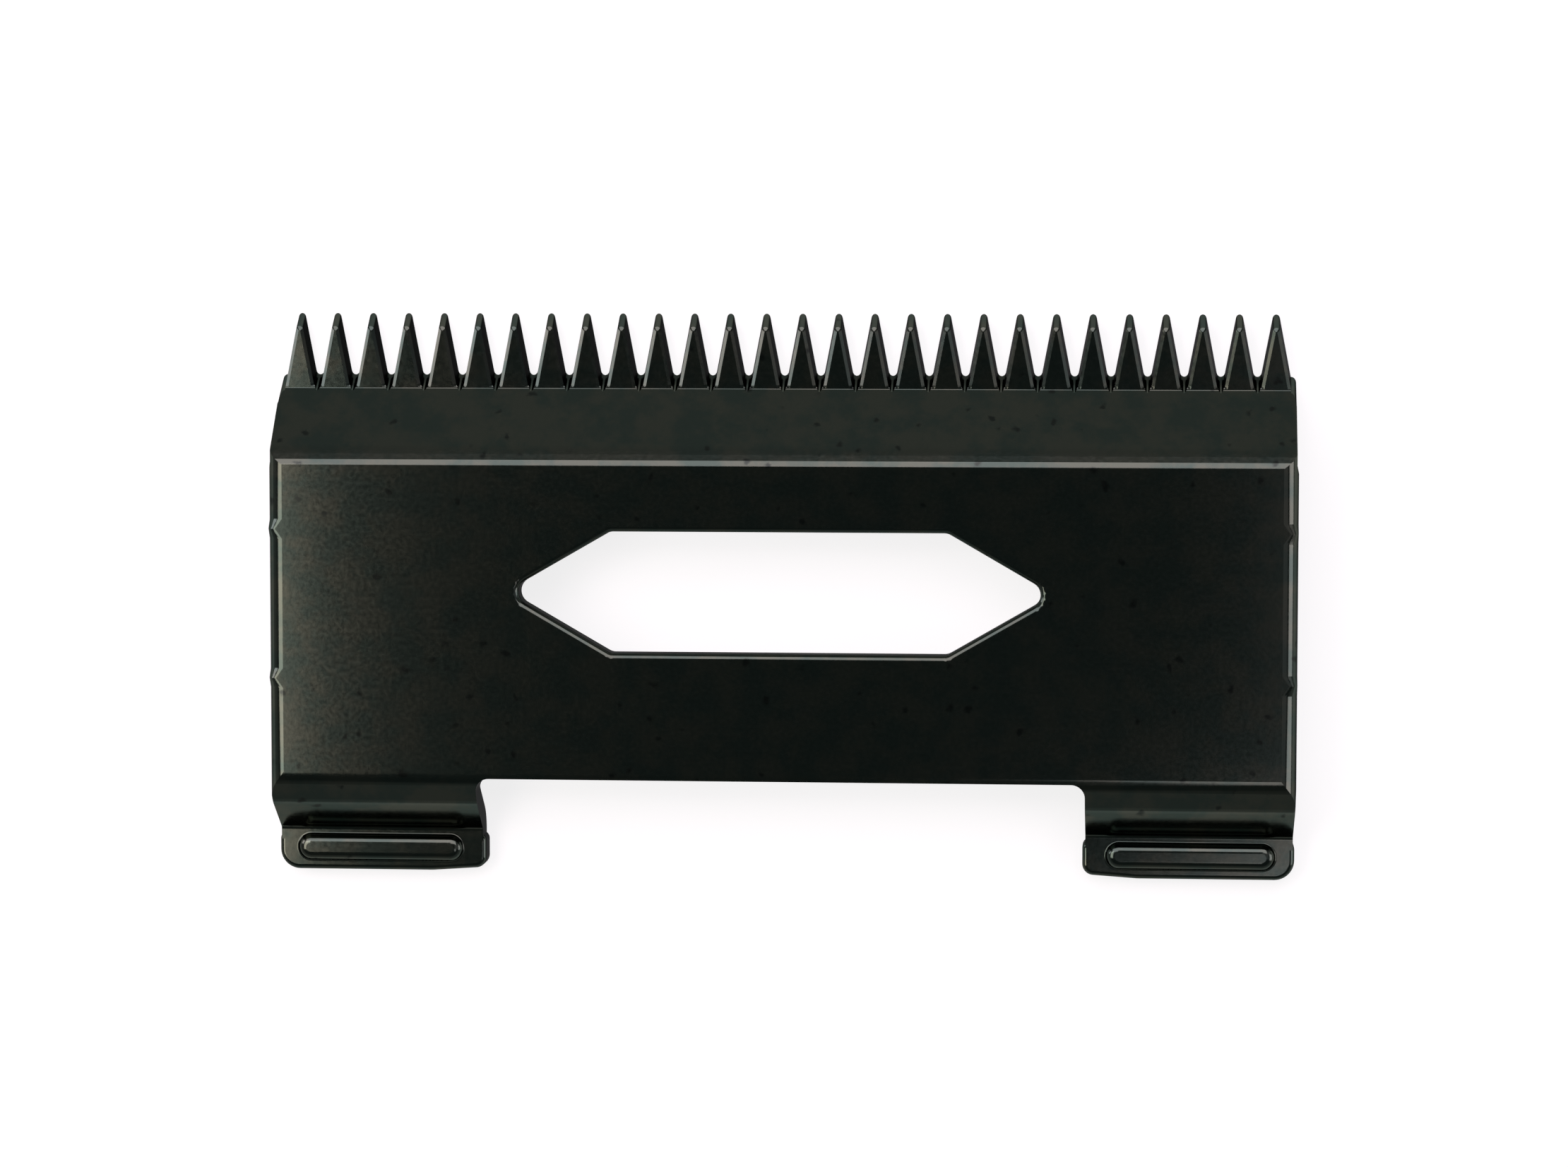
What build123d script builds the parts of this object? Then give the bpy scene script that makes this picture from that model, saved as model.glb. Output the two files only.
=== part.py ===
from build123d import *
from math import cos, radians, sin, tan
import os

# Cutter blade of a hair clipper: one steel sheet, blanked, folded, ground on its cutting face and coated.
# X runs across the blade, Y from the rear feet to the tooth tips, and Z up from the ground cutting face.
# All sizes are in millimetres. The comb, ramp and window are placed by their distance back from the tooth tips,
# and the legs and feet by their distance forward from the rear end.

# Overall sizes
blade_width = 41.1
blade_length = 22.61
sheet = 1.0
deck_height = 3.2
land_height = 0.72

# Comb of cutting teeth. Their walls lean back from the ground face, so that each tip is a chisel. The flanks,
# tips and gullets are measured square to the lean, as the grinding wheel shapes them.
tooth_pitch = 1.457
flank_angle = 13.7
lean_angle = 38.0
tip_radius = 0.15
gullet_radius = 0.17
shoulder_radius = 0.2
tooth_edge_share = 0.75
tooth_edge_slope = 30.0
comb_lap = 0.2
ramp_lap = 0.03

# Folds of the sheet: corners of its upper face, and the radii of the bends. The ramp eases off below its upper
# corner.
ramp_end = 5.9
ramp_ease_length = 0.5
ramp_ease_drop = 0.35
leg_start = 3.95
leg_break = 2.93
leg_break_drop = 0.6
foot_start = 1.73
ramp_foot_radius = 0.05
ramp_ease_radius = 3.5
ramp_top_radius = 0.4
leg_top_radius = 1.0
leg_break_radius = 0.8
foot_bend_radius = 0.2
inner_bend_radius = 0.3

# The land and the ramp are a little narrower than the deck, which widens in a short step behind the ramp
front_inset = 0.07
step_length = 0.35

# Rounded side edges of the deck, left sharper at the marks where the blank was cut from its strip
deck_side_radius = 0.6
strip_mark_radius = 0.32
strip_mark_length = 0.8
strip_mark_places = (8.6, 14.6)

# Six-sided window for the drive cam
window_place = 11.07
window_flat = 13.47
window_depth = 4.86
window_slope = 30.0
window_corner_radius = 0.53
window_edge_radius = 0.22

# Gap between the two legs, and the slight narrowing of each leg towards its foot
gap_width = 24.4
gap_depth = 4.015
gap_corner_radius = 0.55
leg_taper = 0.07
leg_lap = 0.1

# Feet: rounded plates a little wider than the legs, with the inner end of the rear edge cut back
foot_setback = 0.2
foot_flare = 0.12
foot_slant = 0.15
foot_slant_length = 2.2
foot_slant_radius = 2.0
foot_rear_radius = 0.8
foot_inner_radius = 0.45
foot_front_radius = 0.3
foot_edge_radius = 0.2

# Pressed bead along each foot, with its groove below and a flat margin all round
bead_inner_margin = 0.92
bead_outer_margin = 0.75
bead_front_margin = 0.25
bead_rear_margin = 0.38
bead_height = 0.3
bead_draft = 25.0
bead_top_radius = 0.36
bead_root_radius = 0.08
bead_wall = 0.25

half_width = blade_width / 2
front_half_width = half_width - front_inset
tip_y = blade_length / 2
rear_y = -blade_length / 2

# The foot plates start a little behind the bend, and each leg laps onto its plate past the rounded front edge
foot_inner_x = gap_width / 2 - foot_flare
foot_front_y = rear_y + foot_start - foot_setback
leg_end_y = foot_front_y - foot_edge_radius - leg_lap

# Lines across the comb, from the tooth tips and square to the lean. The flanks run on to sharp points outside
# their rounded tips and gullets. The comb holds as many teeth as fit between the two end shoulders.
overshoot = 1 / sin(radians(flank_angle)) - 1
apex_line = tip_radius * overshoot
root_line = apex_line - tooth_pitch / 2 / tan(radians(flank_angle))
gullet_line = root_line + gullet_radius * overshoot
tooth_edge_width = tooth_edge_share * tip_radius
flank_reach = (apex_line - gullet_line) * tan(radians(flank_angle))
tooth_count = int((2 * front_half_width - 2 * (flank_reach + shoulder_radius)) / tooth_pitch) + 1
last_tip_x = (tooth_count - 1) * tooth_pitch / 2
comb_end_x = last_tip_x + flank_reach

# The gullets run into the foot of the ramp by a small lap, and the comb runs on below the ramp
gullet_reach = land_height * tan(radians(lean_angle)) - gullet_line / cos(radians(lean_angle))
ramp_start = gullet_reach - ramp_lap
comb_length = gullet_reach + tooth_edge_width + comb_lap


def back(distance):
    """Y of a line this far back from the tooth tips."""
    return tip_y - distance


def forward(distance):
    """Y of a line this far forward from the rear end."""
    return rear_y + distance


def level_faces(solid, height):
    """The solid's level flat faces at this height."""
    return solid.faces().filter_by(Axis.Z).group_by(lambda face: abs(face.center().Z - height))[0]


def one_sheet_below(points):
    """The line that runs one sheet thickness under the given one, with mitred corners."""
    line = [Vector(*point) for point in points]
    runs = [(after - before).normalized() for before, after in zip(line, line[1:])]
    normals = [Vector(-run.Y, run.X) for run in runs]
    lower = [line[0] + normals[0] * sheet]
    for corner, first, second in zip(line[1:], normals, normals[1:]):
        lower.append(corner + (first + second) * (sheet / (1 + first.dot(second))))
    lower.append(line[-1] + normals[-1] * sheet)
    return lower


def folded_sheet():
    """The sheet in its folded form, as its side profile drawn out across the blade."""
    corners = [
        (tip_y, land_height),
        (back(ramp_start), land_height),
        (back(ramp_end), deck_height),
        (forward(leg_start), deck_height),
        (forward(leg_break), deck_height - leg_break_drop),
        (forward(foot_start), sheet),
        (leg_end_y, sheet),
    ]
    ease = (back(ramp_end - ramp_ease_length), deck_height - ramp_ease_drop)
    upper_radii = [ramp_foot_radius, ramp_ease_radius, ramp_top_radius, leg_top_radius, leg_break_radius,
                   foot_bend_radius]
    lower_radii = [ramp_foot_radius + sheet, inner_bend_radius, inner_bend_radius, inner_bend_radius,
                   foot_bend_radius + sheet]
    top = FilletPolyline(*corners[:2], ease, *corners[2:], radius=upper_radii)
    bottom = FilletPolyline(*one_sheet_below(corners), radius=lower_radii)
    profile = make_face([top, Line(top @ 1, bottom @ 1), bottom, Line(bottom @ 0, top @ 0)])
    return extrude(Plane.YZ * profile, half_width, both=True)


def plan_view():
    """The blank's outline seen from above, from the foot of the ramp to the ends of the legs."""
    leg_side = half_width - leg_taper
    right_side = [
        (front_half_width, back(ramp_start - ramp_foot_radius)),
        (front_half_width, back(ramp_end)),
        (half_width, back(ramp_end + step_length)),
        (half_width, forward(leg_start)),
        (leg_side, forward(foot_start)),
        (leg_side, leg_end_y),
        (gap_width / 2, leg_end_y),
        (gap_width / 2, forward(gap_depth)),
    ]
    left_side = [(-x, y) for x, y in reversed(right_side)]
    corner_radii = [0] * (len(right_side) - 1) + [gap_corner_radius] * 2 + [0] * (len(left_side) - 1)
    outline = make_face(FilletPolyline(*right_side, *left_side, radius=corner_radii, close=True))
    return extrude(outline, deck_height)


def edge_offcut(place, radius):
    """Section of what lies outside the deck's right edge at this place, when it is rounded to this radius."""
    inner_x = half_width - radius
    outer_x = half_width + sheet
    low_z = deck_height - radius
    high_z = deck_height + sheet
    arc = CenterArc((inner_x, low_z), radius, 0, 90)
    rest = Polyline(arc @ 1, (inner_x, high_z), (outer_x, high_z), (outer_x, low_z), arc @ 0)
    return Pos(0, place) * (Plane.XZ * make_face([arc, rest]))


def side_offcut():
    """What comes off along the right side to round the deck's edge, less of it at each strip mark."""
    stations = [(tip_y, deck_side_radius)]
    for distance in strip_mark_places:
        stations.append((back(distance - strip_mark_length / 2), deck_side_radius))
        stations.append((back(distance), strip_mark_radius))
        stations.append((back(distance + strip_mark_length / 2), deck_side_radius))
    stations.append((rear_y, deck_side_radius))
    return loft([edge_offcut(place, radius) for place, radius in stations], ruled=True)


def tooth_gaps():
    """What is ground away around the teeth, drawn square to their lean and run along it both ways."""
    front_line = apex_line + tooth_pitch
    side_line = gullet_line - tooth_pitch
    left_end = [
        (-blade_width, front_line),
        (-blade_width, side_line),
        (-front_half_width, side_line),
        (-front_half_width, gullet_line),
        (-comb_end_x, gullet_line),
    ]
    right_end = [(-x, y) for x, y in reversed(left_end)]
    points = list(left_end)
    radii = [0, 0, 0, shoulder_radius, 0]
    for number in range(tooth_count):
        tip_x = number * tooth_pitch - last_tip_x
        points += [(tip_x, apex_line), (tip_x + tooth_pitch / 2, root_line)]
        radii += [tip_radius, gullet_radius]
    points = points[:-1] + right_end
    radii = radii[:-1] + [0, shoulder_radius, 0, 0, 0]
    gaps = make_face(FilletPolyline(*points, radius=radii, close=True))
    gaps = Pos(0, tip_y) * Rot(lean_angle, 0, 0) * gaps
    return extrude(gaps, land_height - gullet_line / cos(radians(lean_angle)), both=True)


def comb(gaps):
    """The toothed land, with the upper edges of its teeth broken."""
    plate = extrude(Pos(0, back(comb_length / 2)) * Rectangle(2 * front_half_width, comb_length), land_height)
    land = level_faces(plate - gaps, land_height)[0]
    rear_line = land.edges().sort_by(Axis.Y)[0]
    teeth = [edge for edge in land.edges() if edge != rear_line and abs(edge.center().X) < comb_end_x]
    tooth_edge_drop = tooth_edge_width * tan(radians(tooth_edge_slope))
    return chamfer(teeth, tooth_edge_width, tooth_edge_drop, reference=land)


def drive_window():
    """The window's opening, a lying hexagon with rounded corners."""
    tip_x = window_flat / 2 + window_depth / 2 / tan(radians(window_slope))
    corners = [
        (tip_x, 0),
        (window_flat / 2, window_depth / 2),
        (-window_flat / 2, window_depth / 2),
        (-tip_x, 0),
        (-window_flat / 2, -window_depth / 2),
        (window_flat / 2, -window_depth / 2),
    ]
    outline = make_face(FilletPolyline(*corners, radius=window_corner_radius, close=True))
    return extrude(Pos(0, back(window_place)) * outline, 2 * deck_height)


def right_foot():
    """The right foot's plate, with its upper edges rounded."""
    corners = [
        (half_width, foot_front_y),
        (half_width, rear_y),
        (foot_inner_x + foot_slant_length, rear_y),
        (foot_inner_x, rear_y + foot_slant),
        (foot_inner_x, foot_front_y),
    ]
    radii = [foot_front_radius, foot_rear_radius, foot_slant_radius, foot_inner_radius, foot_front_radius]
    plate = extrude(make_face(FilletPolyline(*corners, radius=radii, close=True)), sheet)
    return fillet(level_faces(plate, sheet).edges(), foot_edge_radius)


def with_beads(blade):
    """The blade with a bead pressed up along each foot, and its groove left below."""
    start_x = foot_inner_x + bead_inner_margin
    end_x = half_width - bead_outer_margin
    length = end_x - start_x
    width = foot_start - bead_front_margin - bead_rear_margin
    bead = extrude(SlotOverall(length, width), bead_height, taper=bead_draft)
    bead = fillet(level_faces(bead, bead_height).edges(), bead_top_radius)
    groove = extrude(SlotOverall(length - 2 * bead_wall, width - 2 * bead_wall), bead_height, taper=bead_draft)
    for side in (-1, 1):
        place = Pos(side * (start_x + end_x) / 2, forward(bead_rear_margin + width / 2))
        blade = blade + place * Pos(0, 0, sheet) * bead - place * groove
    roots = [edge for face in level_faces(blade, sheet) for edge in face.inner_wires()[0].edges()]
    return fillet(roots, bead_root_radius)


def cutter_blade():
    """The whole blade as one solid."""
    offcut = side_offcut()
    gaps = tooth_gaps()
    blade = (folded_sheet() & plan_view()) - offcut - mirror(offcut, Plane.YZ)
    blade = blade - drive_window() - gaps + comb(gaps)
    deck = level_faces(blade, deck_height)[0]
    blade = fillet(deck.inner_wires()[0].edges(), window_edge_radius)
    foot = right_foot()
    return with_beads(blade + foot + mirror(foot, Plane.YZ))


os.makedirs("parts", exist_ok=True)
export_step(cutter_blade(), "parts/cutter_blade.step")
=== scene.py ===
"""Looks of a hair clipper's cutter blade: black oxide steel on a white studio floor."""

import math

import bpy
from bpy.props import FloatProperty, FloatVectorProperty, PointerProperty, StringProperty
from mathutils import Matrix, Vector

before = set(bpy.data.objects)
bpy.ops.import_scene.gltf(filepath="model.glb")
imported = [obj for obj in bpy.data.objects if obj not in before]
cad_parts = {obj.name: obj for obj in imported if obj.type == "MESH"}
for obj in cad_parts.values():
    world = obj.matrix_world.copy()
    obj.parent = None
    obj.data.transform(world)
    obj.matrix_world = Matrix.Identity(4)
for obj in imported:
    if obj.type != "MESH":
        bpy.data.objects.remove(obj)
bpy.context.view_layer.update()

bl_info = {
    "name": "Clipper Cutter Blade",
    "version": (1, 0, 0),
    "blender": (4, 5, 0),
    "location": "3D View > Sidebar > Cutter Blade",
    "description": "Finishes a pressed steel cutter blade and sets up its studio",
    "category": "Object",
}

BLADE = "cutter_blade"
MM = 0.001

# Light of the room in linear colour, from the foot of its walls, by their upper part, to the ceiling.
# The places are heights on a sphere of radius 1 round the blade.
WALL_LIGHT = (0.5, 0.5, 0.5, 1)
UPPER_WALL_PLACE = 0.45
UPPER_WALL_LIGHT = (0.28, 0.28, 0.28, 1)
CEILING_PLACE = 0.65
CEILING_LIGHT = (0.094, 0.106, 0.108, 1)


class BladeFinish(bpy.types.PropertyGroup):
    """Colours and grain of the black oxide on the blade."""

    oxide_colour: StringProperty(
        name="Oxide colour",
        description="What the oxide reflects where it is greenish black",
        default="#363f3a",
    )
    tempered_colour: StringProperty(
        name="Tempered colour",
        description="What the oxide reflects where it took a browner tone",
        default="#40443d",
    )
    pit_colour: StringProperty(
        name="Pit colour",
        description="What is reflected from the bottom of a pit",
        default="#2b2f2c",
    )
    # Partly painted shade: the steep sheared walls are torn and nearly matt, and their darker colour stands in
    # for the dark they mirror.
    sheared_colour: StringProperty(
        name="Steep wall shade colour",
        description="What the walls that the press sheared reflect, which are torn and nearly matt",
        default="#121413",
    )
    # Painted shade: this colour darkens the gullets and bends, where the blade's own faces shade them.
    oil_colour: StringProperty(
        name="Crease shade colour",
        description="Painted shade that darkens the gullets and bends",
        default="#101211",
    )
    edge_colour: StringProperty(
        name="Edge colour",
        description="Tint of what the oxide reflects at a low angle",
        default="#b3b3b3",
    )
    # Reach of that painted shade from the nearby faces that cast it.
    oil_reach: FloatProperty(
        name="Crease shade reach",
        description="How far from a wall the painted crease shade reaches",
        default=0.5 * MM,
        unit="LENGTH",
    )
    gloss: FloatProperty(
        name="Roughness",
        description="Roughness of the oxide under its oil film",
        default=0.135,
        min=0.0,
        max=1.0,
        subtype="FACTOR",
    )
    gloss_spread: FloatProperty(
        name="Roughness spread",
        description="How far the roughness rises and falls with the grain",
        default=0.02,
        min=0.0,
        max=1.0,
        subtype="FACTOR",
    )
    sheared_gloss: FloatProperty(
        name="Sheared roughness",
        description="Roughness of the walls that the press sheared",
        default=0.5,
        min=0.0,
        max=1.0,
        subtype="FACTOR",
    )
    cloud_size: FloatProperty(
        name="Cloud size",
        description="Width of the patches of tone in the oxide",
        default=1.6 * MM,
        unit="LENGTH",
    )
    pit_spacing: FloatProperty(
        name="Pit spacing",
        description="Distance between the small pits of the rolled sheet",
        default=1.1 * MM,
        unit="LENGTH",
    )
    grain_size: FloatProperty(
        name="Grain size",
        description="Width of the grain that the pickled sheet shows through the oxide",
        default=0.16 * MM,
        unit="LENGTH",
    )
    grain_depth: FloatProperty(
        name="Grain depth",
        description="Height of the grain",
        default=0.0004 * MM,
        unit="LENGTH",
    )
    wave_size: FloatProperty(
        name="Wave size",
        description="Length of the slight waves that pressing leaves in the sheet",
        default=5.0 * MM,
        unit="LENGTH",
    )
    wave_depth: FloatProperty(
        name="Wave depth",
        description="Height of the slight waves",
        default=0.004 * MM,
        unit="LENGTH",
    )


class Studio(bpy.types.PropertyGroup):
    """The floor, the striplights and the camera."""

    floor_colour: StringProperty(
        name="Floor colour",
        description="Colour of the white paper floor",
        default="#f4f4f4",
    )
    lamp_colour: StringProperty(
        name="Lamp colour",
        description="Colour of the striplights, a little rosy",
        default="#ffeefa",
    )
    left_lamp_colour: StringProperty(
        name="Left lamp colour",
        description="Colour of the left striplight, a little warmer",
        default="#ffefea",
    )
    floor_size: FloatProperty(
        name="Floor size",
        description="Length of each side of the floor",
        default=4.0,
        unit="LENGTH",
    )
    floor_gap: FloatProperty(
        name="Floor gap",
        description="How far the floor lies below the blade, so that their faces don't meet",
        default=0.02 * MM,
        unit="LENGTH",
    )
    floor_white: FloatProperty(
        name="Floor white",
        description="Share of plain white in the floor, the rest of which takes the shadow",
        default=0.8,
        min=0.0,
        max=1.0,
        subtype="FACTOR",
    )
    camera_place: FloatVectorProperty(
        name="Camera place",
        description="Where the camera stands",
        default=(15.11 * MM, 13.34 * MM, 178.17 * MM),
        subtype="TRANSLATION",
    )
    camera_turn: FloatVectorProperty(
        name="Camera turn",
        description="How the camera is turned from looking straight down",
        default=(math.radians(-4.134), math.radians(4.857), math.radians(0.037)),
        subtype="EULER",
    )
    camera_lens: FloatProperty(
        name="Camera lens",
        description="Focal length on a sensor 36 mm wide",
        default=101.79,
        unit="CAMERA",
    )


def linear(colour):
    """An sRGB hex value as linear red, green, blue and alpha."""
    parts = [int(colour[place:place + 2], 16) / 255 for place in (1, 3, 5)]
    shades = [part / 12.92 if part <= 0.04045 else ((part + 0.055) / 1.055) ** 2.4 for part in parts]
    return shades + [1.0]


def add_node(tree, kind, links=None, **settings):
    """Adds a node. An entry of links is a value for that input, or the output that feeds it."""
    node = tree.nodes.new(kind)
    for name, value in settings.items():
        setattr(node, name, value)
    for name, value in (links or {}).items():
        if isinstance(value, bpy.types.NodeSocket):
            tree.links.new(value, node.inputs[name])
        else:
            node.inputs[name].default_value = value
    return node


def new_tree(name):
    """A new material and its empty node tree."""
    material = bpy.data.materials.new(name)
    material.use_nodes = True
    material.node_tree.nodes.clear()
    return material, material.node_tree


# Carbon steel, pickled after pressing, blacked in a hot oxide bath and then coated in oil. The oxide film is a
# dark mirror with a satin haze: it takes its shade from what it reflects, cloudy between green black and
# brown black. Walls that the press sheared are nearly matt, and a painted shade darkens them, the gullets and
# the bends. The grain is drawn coarser than the real one, which is too fine to show.
def black_oxide_steel(finish):
    material, tree = new_tree("black_oxide_steel")
    coordinates = add_node(tree, "ShaderNodeTexCoord").outputs
    place = coordinates["Object"]
    clouds = add_node(tree, "ShaderNodeTexNoise", {
        "Vector": place,
        "Scale": 1 / finish.cloud_size,
        "Detail": 5.0,
        "Roughness": 0.65,
    })
    cloud_share = add_node(tree, "ShaderNodeMapRange", {
        "Value": clouds.outputs["Fac"],
        "From Min": 0.42,
        "From Max": 0.58,
    })
    oxide = add_node(tree, "ShaderNodeMix", {
        "Factor": cloud_share.outputs["Result"],
        6: linear(finish.oxide_colour),
        7: linear(finish.tempered_colour),
    }, data_type="RGBA")

    # The clouds push the pits about, so that they lie in no pattern and aren't round
    strayed = add_node(tree, "ShaderNodeVectorMath", {
        0: clouds.outputs["Color"],
        1: [finish.pit_spacing] * 3,
        2: place,
    }, operation="MULTIPLY_ADD")
    pits = add_node(tree, "ShaderNodeTexVoronoi", {
        "Vector": strayed.outputs[0],
        "Scale": 1 / finish.pit_spacing,
        "Randomness": 1.0,
    })
    pit_share = add_node(tree, "ShaderNodeMapRange", {
        "Value": pits.outputs["Distance"],
        "From Min": 0.18,
        "From Max": 0.06,
    }, interpolation_type="SMOOTHSTEP")
    pitted = add_node(tree, "ShaderNodeMix", {
        "Factor": pit_share.outputs["Result"],
        6: oxide.outputs[2],
        7: linear(finish.pit_colour),
    }, data_type="RGBA")

    # Sheared walls are those that stand steeper than any rolled face. Their near-matt roughness is the torn
    # shear; their darker colour is painted shade, standing in for the dark they mirror.
    upward = add_node(tree, "ShaderNodeSeparateXYZ", {0: coordinates["Normal"]}).outputs["Z"]
    level = add_node(tree, "ShaderNodeMath", {0: upward}, operation="ABSOLUTE")
    sheared_share = add_node(tree, "ShaderNodeMapRange", {
        "Value": level.outputs[0],
        "From Min": 0.5,
        "From Max": 0.3,
    })
    sheared = add_node(tree, "ShaderNodeMix", {
        "Factor": sheared_share.outputs["Result"],
        6: pitted.outputs[2],
        7: linear(finish.sheared_colour),
    }, data_type="RGBA")

    # Painted shade: ambient occlusion darkens the colour in the gullets and bends, where the blade's own faces
    # close in.
    openness = add_node(tree, "ShaderNodeAmbientOcclusion", {
        "Distance": finish.oil_reach,
    }, samples=8, only_local=True)
    oil_share = add_node(tree, "ShaderNodeMapRange", {
        "Value": openness.outputs["AO"],
        "From Min": 0.75,
        "From Max": 0.45,
    })
    oiled = add_node(tree, "ShaderNodeMix", {
        "Factor": oil_share.outputs["Result"],
        6: sheared.outputs[2],
        7: linear(finish.oil_colour),
    }, data_type="RGBA")

    grain = add_node(tree, "ShaderNodeTexNoise", {
        "Vector": place,
        "Scale": 1 / finish.grain_size,
        "Detail": 2.0,
    })
    haze = add_node(tree, "ShaderNodeMapRange", {
        "Value": grain.outputs["Fac"],
        "From Min": 0.3,
        "From Max": 0.7,
        "To Min": finish.gloss - finish.gloss_spread,
        "To Max": finish.gloss + finish.gloss_spread,
    })
    roughness = add_node(tree, "ShaderNodeMix", {
        "Factor": sheared_share.outputs["Result"],
        2: haze.outputs["Result"],
        3: finish.sheared_gloss,
    })

    waves = add_node(tree, "ShaderNodeTexNoise", {
        "Vector": place,
        "Scale": 1 / finish.wave_size,
        "Detail": 1.0,
    })
    wavy = add_node(tree, "ShaderNodeBump", {
        "Height": waves.outputs["Fac"],
        "Strength": 1.0,
        "Distance": finish.wave_depth,
    })
    grainy = add_node(tree, "ShaderNodeBump", {
        "Height": grain.outputs["Fac"],
        "Strength": 1.0,
        "Distance": finish.grain_depth,
        "Normal": wavy.outputs["Normal"],
    })

    # The dark edge tint keeps the film from turning white where it is seen at a low angle
    steel = add_node(tree, "ShaderNodeBsdfPrincipled", {
        "Base Color": oiled.outputs[2],
        "Metallic": 1.0,
        "Specular Tint": linear(finish.edge_colour),
        "Roughness": roughness.outputs[0],
        "Normal": grainy.outputs["Normal"],
    })
    add_node(tree, "ShaderNodeOutputMaterial", {"Surface": steel.outputs["BSDF"]})
    return material


# Seamless white paper, matt. It is plain white to the eye and in what the steel mirrors, and dims
# softly in the blade's shadow.
def white_paper(studio):
    material, tree = new_tree("white_paper")
    path = add_node(tree, "ShaderNodeLightPath")
    mirrored = add_node(tree, "ShaderNodeMath", {
        0: path.outputs["Is Camera Ray"],
        1: path.outputs["Is Glossy Ray"],
    }, operation="MAXIMUM")
    seen = add_node(tree, "ShaderNodeMath", {
        0: mirrored.outputs[0],
        1: path.outputs["Is Transmission Ray"],
    }, operation="MAXIMUM")
    share = add_node(tree, "ShaderNodeMath", {
        0: seen.outputs[0],
        1: studio.floor_white,
    }, operation="MULTIPLY")
    paper = add_node(tree, "ShaderNodeBsdfDiffuse", {"Color": linear(studio.floor_colour)})
    white = add_node(tree, "ShaderNodeEmission", {"Strength": 1.0})
    mixed = add_node(tree, "ShaderNodeMixShader", {
        0: share.outputs[0],
        1: paper.outputs[0],
        2: white.outputs[0],
    })
    add_node(tree, "ShaderNodeOutputMaterial", {"Surface": mixed.outputs[0]})
    return material


def add_object(name, data):
    """Puts a new object into the scene."""
    made = bpy.data.objects.new(name, data)
    bpy.context.scene.collection.objects.link(made)
    return made


def add_striplight(name, colour, turn, nearest, farthest, width, distance, radiance):
    """A rectangular softbox. It leans from nearest to farthest degrees off the vertical, on the side
    that turn gives in degrees from +Y towards -X, and is width degrees wide."""
    middle = math.radians((nearest + farthest) / 2)
    reach = 2 * distance * math.tan(math.radians((farthest - nearest) / 2))
    across = 2 * distance * math.tan(math.radians(width / 2))
    lamp = bpy.data.lights.new(name, "AREA")
    lamp.shape = "RECTANGLE"
    lamp.size = across
    lamp.size_y = reach
    lamp.energy = radiance * math.pi * across * reach
    lamp.color = colour
    light = add_object(name, lamp)
    side = math.radians(turn)
    towards = Vector((
        -math.sin(side) * math.sin(middle),
        math.cos(side) * math.sin(middle),
        math.cos(middle),
    ))
    light.location = towards * distance
    light.rotation_mode = "QUATERNION"
    light.rotation_quaternion = (-towards).to_track_quat("-Z", "Y")
    light.visible_camera = False
    return light


class FinishBlade(bpy.types.Operator):
    """Give the cutter blade its black oxide finish"""

    bl_idname = "cutter_blade.finish"
    bl_label = "Finish Blade"

    def execute(self, context):
        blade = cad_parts[BLADE]
        blade.data.materials.clear()
        blade.data.materials.append(black_oxide_steel(context.scene.blade_finish))
        blade.data.shade_smooth()
        return {"FINISHED"}


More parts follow.
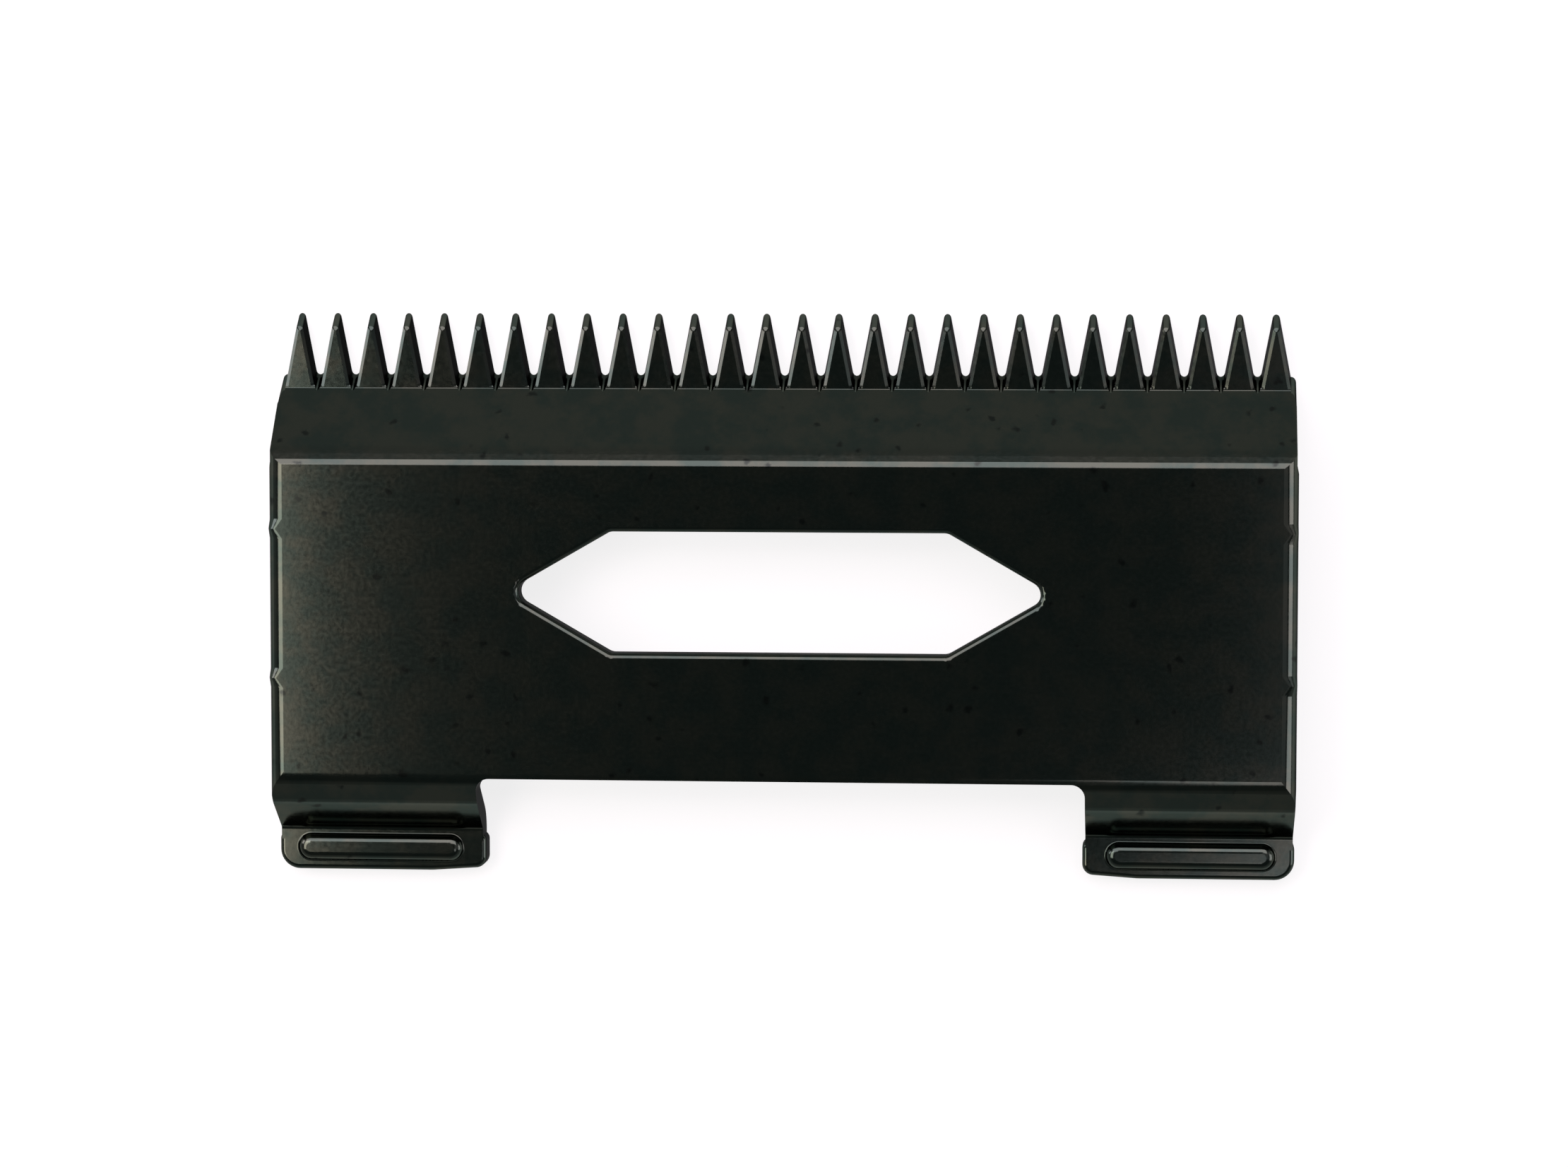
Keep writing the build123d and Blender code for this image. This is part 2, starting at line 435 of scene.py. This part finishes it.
class SetStage(bpy.types.Operator):
    """Lay the white floor, hang the striplights and place the camera"""

    bl_idname = "cutter_blade.stage"
    bl_label = "Set Stage"

    def execute(self, context):
        studio = context.scene.blade_studio
        self.lay_floor(studio)
        self.light_sky(context.scene)
        self.hang_lights(studio)
        self.place_camera(context.scene, studio)
        context.scene.view_settings.view_transform = "Standard"
        return {"FINISHED"}

    def lay_floor(self, studio):
        half = studio.floor_size / 2
        under = -studio.floor_gap
        mesh = bpy.data.meshes.new("floor")
        corners = [
            (-half, -half, under),
            (half, -half, under),
            (half, half, under),
            (-half, half, under),
        ]
        mesh.from_pydata(corners, [], [(0, 1, 2, 3)])
        mesh.materials.append(white_paper(studio))
        add_object("floor", mesh)

    def light_sky(self, scene):
        scene.world = bpy.data.worlds.new("studio")
        scene.world.use_nodes = True
        tree = scene.world.node_tree
        tree.nodes.clear()
        way = add_node(tree, "ShaderNodeTexCoord").outputs["Generated"]
        height = add_node(tree, "ShaderNodeSeparateXYZ", {0: way}).outputs["Z"]
        ramp = add_node(tree, "ShaderNodeValToRGB", {0: height})
        wall, ceiling = ramp.color_ramp.elements
        wall.color = WALL_LIGHT
        ceiling.position = CEILING_PLACE
        ceiling.color = CEILING_LIGHT
        ramp.color_ramp.elements.new(UPPER_WALL_PLACE).color = UPPER_WALL_LIGHT
        sky = add_node(tree, "ShaderNodeBackground", {"Color": ramp.outputs[0]})
        add_node(tree, "ShaderNodeOutputWorld", {"Surface": sky.outputs[0]})

    def hang_lights(self, studio):
        rosy = linear(studio.lamp_colour)[:3]
        warm = linear(studio.left_lamp_colour)[:3]
        near = 120 * MM
        far = 300 * MM
        add_striplight(
            "front_striplight", rosy, turn=5, nearest=14, farthest=64, width=70, distance=far, radiance=4.0,
        )
        add_striplight(
            "left_striplight", warm, turn=90, nearest=21, farthest=48, width=36, distance=near, radiance=5.8,
        )
        add_striplight(
            "tooth_striplight", rosy, turn=76, nearest=58, farthest=82, width=16, distance=near, radiance=5.0,
        )
        add_striplight(
            "right_panel", rosy, turn=-90, nearest=11, farthest=42, width=30, distance=near, radiance=0.4,
        )
        add_striplight(
            "right_tooth_panel", rosy, turn=-76, nearest=50, farthest=72, width=14, distance=near, radiance=0.9,
        )
        add_striplight(
            "right_striplight", rosy, turn=-97, nearest=52, farthest=80, width=28, distance=near, radiance=3.8,
        )
        add_striplight(
            "rear_right_panel", rosy, turn=213, nearest=16, farthest=28, width=10, distance=near, radiance=2.4,
        )

    def place_camera(self, scene, studio):
        lens = bpy.data.cameras.new("camera")
        lens.lens = studio.camera_lens
        lens.clip_start = 10 * MM
        camera = add_object("camera", lens)
        camera.location = studio.camera_place
        camera.rotation_mode = "ZXY"
        camera.rotation_euler = studio.camera_turn
        scene.camera = camera


class BladePanel(bpy.types.Panel):
    """Sizes, colours and steps of the cutter blade"""

    bl_idname = "VIEW3D_PT_cutter_blade"
    bl_label = "Cutter Blade"
    bl_space_type = "VIEW_3D"
    bl_region_type = "UI"
    bl_category = "Cutter Blade"

    def draw(self, context):
        for group, operator in (
            (context.scene.blade_finish, FinishBlade),
            (context.scene.blade_studio, SetStage),
        ):
            box = self.layout.box()
            for name in group.__annotations__:
                box.prop(group, name)
            box.operator(operator.bl_idname)


CLASSES = (BladeFinish, Studio, FinishBlade, SetStage, BladePanel)


def register():
    for kind in CLASSES:
        bpy.utils.register_class(kind)
    bpy.types.Scene.blade_finish = PointerProperty(type=BladeFinish)
    bpy.types.Scene.blade_studio = PointerProperty(type=Studio)


def unregister():
    del bpy.types.Scene.blade_studio
    del bpy.types.Scene.blade_finish
    for kind in reversed(CLASSES):
        bpy.utils.unregister_class(kind)


def main():
    register()
    bpy.ops.cutter_blade.stage()
    bpy.ops.cutter_blade.finish()


if __name__ == "__main__":
    main()
